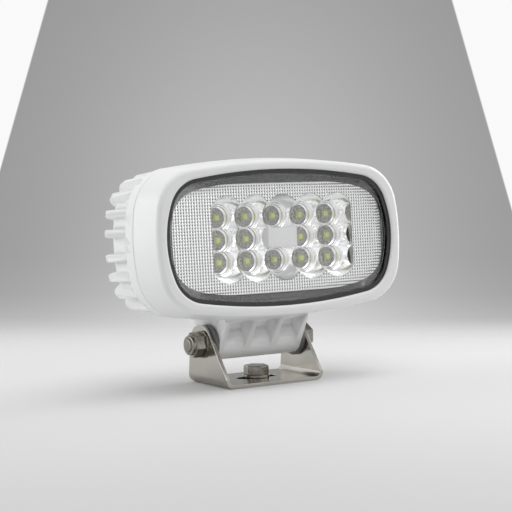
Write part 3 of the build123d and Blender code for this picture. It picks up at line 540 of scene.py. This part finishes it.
# Where the grooves between the pyramids cross, the chrome is painted dark grey: painted shade in the pits.
across_groove = 1 - (place.dot((1, 0, 0)) + pyramid_pitch / 2).fold(pyramid_pitch)
along_groove = 1 - (place.dot(head_up) - light_height).fold(pyramid_pitch)
pit_painted_shade = (across_groove * along_groove).rise(groove_start, groove_end)
pit_painted_shade.blend((0.93, 0.935, 0.94), (0.20, 0.20, 0.20)).feed(shader, "Base Color")
place.noise(waves=300.0).between(0.14, 0.24).feed(shader, "Roughness")

bpy.ops.mesh.primitive_grid_add(x_subdivisions=pyramid_columns, y_subdivisions=pyramid_rows, size=1)
pattern = bpy.context.object
pattern.name = "reflector_pattern"
pattern.scale = (pyramid_columns * pyramid_pitch, pyramid_rows * pyramid_pitch, 1)
bpy.ops.object.transform_apply(location=True, rotation=True, scale=True)
bpy.ops.object.mode_set(mode="EDIT")
bpy.ops.mesh.select_all(action="SELECT")
bpy.ops.mesh.poke(offset=pyramid_height)
bpy.ops.mesh.select_all(action="SELECT")
bpy.ops.mesh.extrude_region_move(TRANSFORM_OT_translate={"value": (0, 0, pattern_skin)})
bpy.ops.mesh.select_all(action="SELECT")
bpy.ops.mesh.normals_make_consistent(inside=False)
bpy.ops.object.mode_set(mode="OBJECT")
set_in_head(pattern, 0, pyramid_foot, 0)

bpy.ops.mesh.primitive_circle_add(vertices=outline_corners, radius=1, fill_type="NGON")
field = bpy.context.object
for corner in field.data.vertices:
    stretch = (abs(corner.co.x) ** outline_power + abs(corner.co.y) ** outline_power) ** (1 / outline_power)
    corner.co = (corner.co.x / stretch * pattern_half_width, corner.co.y / stretch * pattern_half_height,
                 -pattern_depth / 2)
bpy.ops.object.mode_set(mode="EDIT")
bpy.ops.mesh.select_all(action="SELECT")
bpy.ops.mesh.extrude_region_move(TRANSFORM_OT_translate={"value": (0, 0, pattern_depth)})
bpy.ops.mesh.select_all(action="SELECT")
bpy.ops.mesh.normals_make_consistent(inside=False)
bpy.ops.object.mode_set(mode="OBJECT")
set_in_head(field, 0, pyramid_foot, 0)
cut_with(pattern, field, "INTERSECT")

for x, w in cup_spots:
    bpy.ops.mesh.primitive_cylinder_add(vertices=mouth_sides, radius=mouth_radius, depth=pattern_depth)
    mouth = bpy.context.object
    clip_ends(mouth, x)
    set_in_head(mouth, x, pyramid_foot, w)
    cut_with(pattern, mouth, "DIFFERENCE")
opening = box_in_head("opening", middle_width, middle_height, pattern_depth, pyramid_foot)
cut_with(pattern, opening, "DIFFERENCE")
pattern.data.materials.clear()
pattern.data.materials.append(prism)
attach(pattern, "head")

cups = box_in_head("reflector_cups", 2 * (cup_field_half + cup_wall), 2 * cup_field_rise, block_depth,
                   cup_foot - block_depth / 2)
bpy.ops.mesh.primitive_circle_add(vertices=len(cup_points), radius=mouth_radius)
hollow = bpy.context.object
for corner, (radius, rise) in zip(hollow.data.vertices, cup_points):
    corner.co = (radius, 0, rise)
bpy.ops.object.mode_set(mode="EDIT")
bpy.ops.mesh.select_all(action="SELECT")
bpy.ops.mesh.spin(steps=cup_sides, angle=2 * pi, center=(0, 0, 0), axis=(0, 0, 1))
bpy.ops.mesh.select_all(action="SELECT")
bpy.ops.mesh.remove_doubles(threshold=merge_reach)
bpy.ops.mesh.dissolve_degenerate(threshold=merge_reach)
bpy.ops.mesh.delete_loose()
bpy.ops.mesh.select_all(action="SELECT")
bpy.ops.mesh.normals_make_consistent(inside=False)
bpy.ops.object.mode_set(mode="OBJECT")
for x, w in cup_spots:
    pick(hollow)
    bpy.ops.object.duplicate()
    cup = bpy.context.object
    clip_ends(cup, x)
    set_in_head(cup, x, cup_foot, w)
    cut_with(cups, cup, "DIFFERENCE")
bpy.data.objects.remove(hollow)
well = box_in_head("well", middle_width, middle_height, 3 * cup_depth, cup_foot)
cut_with(cups, well, "DIFFERENCE")
bpy.ops.object.shade_smooth_by_angle(angle=cup_smooth)
cups.data.materials.clear()
cups.data.materials.append(mirror)
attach(cups, "head")

bare = box_in_head("reflector_middle", middle_width, middle_height, middle_depth,
                   cup_foot - middle_depth / 2)
rounding = bare.modifiers.new("corners", "BEVEL")
rounding.width = middle_round
rounding.segments = middle_steps
bpy.ops.object.modifier_apply(modifier=rounding.name)
bpy.ops.object.shade_smooth_by_angle(angle=middle_smooth)
frost, shader, place = mottled("pad_frost", dark=(0.88, 0.885, 0.89), light=(0.94, 0.94, 0.94),
                               waves=500.0, roughness=0.5)
relief(shader, place.noise(waves=900.0), depth=0.0001, strength=0.5)
bare.data.materials.append(frost)
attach(bare, "head")


# LED board
# Fourteen ceramic packages with a small yellow-green phosphor, on a grey speckled board.
# The board lies on a soft thermal pad and a milled aluminium spreader, held by six screws.
speckle_waves = 1500.0
speckle_detail = 3.0
speckle_roughness = 0.75


def wear(material, *nodes):
    """Give CAD nodes a finish."""
    for name in nodes:
        frame["nodes"][name].data.materials.clear()
        frame["nodes"][name].data.materials.append(material)


board, shader, place = new_finish("board_speckle", roughness=0.5)
speckle = place.noise(speckle_waves, speckle_detail, speckle_roughness)
speckle.rise(0.36, 0.66).blend((0.22, 0.22, 0.22), (0.80, 0.80, 0.78)).feed(shader, "Base Color")
wear(board, "led_board")
ceramic, shader, place = new_finish("package_ceramic", roughness=0.35)
speckle = place.noise(speckle_waves, speckle_detail, speckle_roughness)
speckle.rise(0.3, 0.7).blend((0.36, 0.37, 0.28), (0.62, 0.64, 0.50)).feed(shader, "Base Color")
wear(ceramic, "led_packages")
phosphor, shader, place = mottled("phosphor_gel", dark=(0.66, 0.70, 0.20), light=(0.80, 0.84, 0.42),
                                  waves=900.0, roughness=0.3)
wear(phosphor, "led_phosphors")
putty, shader, place = mottled("pad_putty", dark=(0.20, 0.22, 0.25), light=(0.28, 0.30, 0.33),
                               waves=200.0, detail=3.0, roughness=0.7)
wear(putty, "thermal_pad")
milled, shader, place = new_finish("spreader_milled", roughness=0.3, metallic=1.0)
lines = place.noise(waves=700.0, stretch=(0.06, 1.0, 1.0))
lines.blend((0.62, 0.62, 0.63), (0.78, 0.78, 0.79)).feed(shader, "Base Color")
relief(shader, lines, depth=0.00002, strength=0.4)
wear(milled, "heat_spreader", "bezel_screws")
wear(machined, "board_screws")


# Lens
# A clear moulded pane, stepped round its edge, held by the lip against a black gasket.
# It shows what lies behind it, and mirrors the room only where it is seen edge on.
clear, shader, place = new_finish("lens_clear", roughness=0.03, metallic=1.0, color=(1, 1, 1))
facing = place.node("ShaderNodeLayerWeight", sockets={"Blend": 0.5}, out="Facing")
(facing ** 5.0).between(0.02, 0.92).feed(shader, "Alpha")
finished_copy("lens", "head", clear)


# Driver
# A green circuit board on standoffs inside the shell, with two wound ferrite chokes, capacitors and chips.
# A terminal block takes two sleeved leads to the LED board.
mask, shader, place = mottled("driver_green", dark=(0.015, 0.075, 0.035), light=(0.03, 0.12, 0.055),
                              waves=120.0, detail=3.0, roughness=0.35)
wear(mask, "driver_board")
wear(machined, "driver_screws")
ferrite, shader, place = mottled("choke_ferrite", dark=(0.035, 0.033, 0.03), light=(0.10, 0.095, 0.09),
                                 waves=900.0, detail=3.0, roughness=0.6)
wear(ferrite, "driver_chokes")
sleeve, shader, place = mottled("capacitor_sleeve", dark=(0.01, 0.012, 0.03), light=(0.02, 0.025, 0.06),
                                waves=60.0, roughness=0.3)
wear(sleeve, "driver_capacitors")
chip, shader, place = mottled("chip_black", dark=(0.012, 0.012, 0.012), light=(0.035, 0.035, 0.035),
                              waves=1500.0, detail=3.0, roughness=0.55)
wear(chip, "driver_chips")
terminal, shader, place = mottled("terminal_moulded", dark=(0.02, 0.12, 0.05), light=(0.035, 0.17, 0.07),
                                  waves=300.0, roughness=0.45)
wear(terminal, "terminal_block")
lead, shader, place = mottled("lead_sleeve", dark=(0.35, 0.02, 0.015), light=(0.45, 0.035, 0.03),
                              waves=300.0, roughness=0.4)
wear(lead, "led_leads")


# Cable gland and vent
# A nickel-plated gland with a rubber seal takes the cord through the back.
# Beside it a moulded vent lets the head breathe.
gland_corner = 0.0002
vent_corner = 0.0003

plated, shader, place = mottled("gland_plated", dark=(0.50, 0.49, 0.46), light=(0.68, 0.67, 0.64),
                                waves=260.0, detail=3.0, roughness=0.28, metallic=1.0)
place.noise(waves=700.0).between(0.20, 0.32).feed(shader, "Roughness")
for node in ("gland_body", "gland_nut"):
    finished_copy(node, "head", plated, gland_corner)
finished_copy("gland_seal", "head", rubber)
moulded, shader, place = mottled("vent_moulded", dark=(0.025, 0.025, 0.026), light=(0.05, 0.05, 0.052),
                                 waves=300.0, roughness=0.5)
relief(shader, place.noise(waves=3500.0), depth=0.00003, strength=0.5)
finished_copy("vent_plug", "head", moulded, vent_corner)
